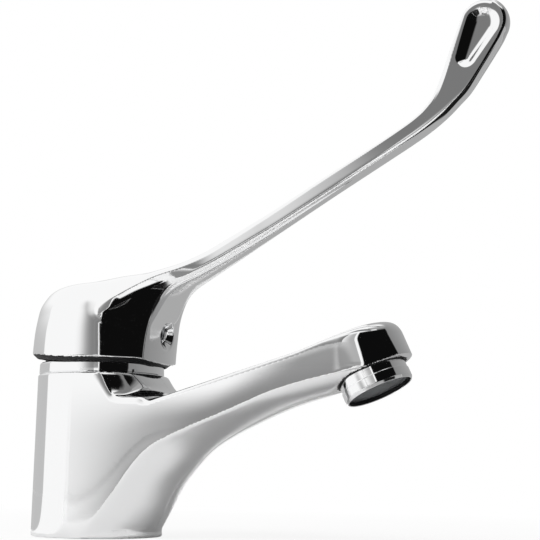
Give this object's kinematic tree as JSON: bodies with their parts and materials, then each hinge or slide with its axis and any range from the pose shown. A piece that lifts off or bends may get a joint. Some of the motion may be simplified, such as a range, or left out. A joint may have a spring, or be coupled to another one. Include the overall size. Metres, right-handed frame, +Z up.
{
  "type": "elbow lever basin mixer tap",
  "caption": "Chromed basin mixer tap with a long upswept elbow lever that lifts to open and swings to set temperature, a short fixed spout and a screwed-in aerator.",
  "frame": {"origin": "centre of the foot, on the deck face", "axes": "+X the way the spout points, +Y to the left side seen by the user, +Z up from the deck"},
  "size_m": [0.1854, 0.0528, 0.187],
  "materials": {
    "chrome": "mirror polished",
    "rubber": "matte",
    "white_plastic": "matte",
    "grey_plastic": "matte",
    "ceramic": "lapped ceramic",
    "brass": "machined",
    "steel": "plain"
  },
  "bodies": {
    "tap": {"body": "chrome", "base_seal": "rubber", "cartridge_base": "white_plastic", "seal_hot": "rubber", "seal_cold": "rubber", "seal_mix": "rubber", "fixed_disc": "ceramic", "cartridge_housing": "grey_plastic", "glide_ring": "white_plastic", "retaining_nut": "brass", "cover_ring": "chrome", "aerator_housing": "chrome", "aerator_seal": "rubber", "aerator_insert": "white_plastic", "aerator_screen": "steel"},
    "turret": {"turret": "white_plastic", "pivot_pin": "steel"},
    "lever": {"stem": "brass", "handle": "chrome", "set_screw": "steel"},
    "disc": {"moving_disc": "ceramic", "disc_carrier": "grey_plastic"}
  },
  "joints": [
    {"name": "lever_swing", "type": "hinge", "parent": "tap", "child": "turret", "pos_m": [0, 0, 0.055], "axis": [0, 0, 1], "range_deg": [-45, 45]},
    {"name": "lever_tilt", "type": "hinge", "parent": "turret", "child": "lever", "pos_m": [0, 0, 0.055], "axis": [0, -1, 0], "range_deg": [0, 25]},
    {"name": "disc_slide", "type": "slide", "parent": "turret", "child": "disc", "axis": [1, 0, 0], "range_m": [0, 0.0053]}
  ],
  "couplings": [
    {"joint": "disc_slide", "follows": "lever_tilt", "m_per_rad": 0.011894}
  ]
}
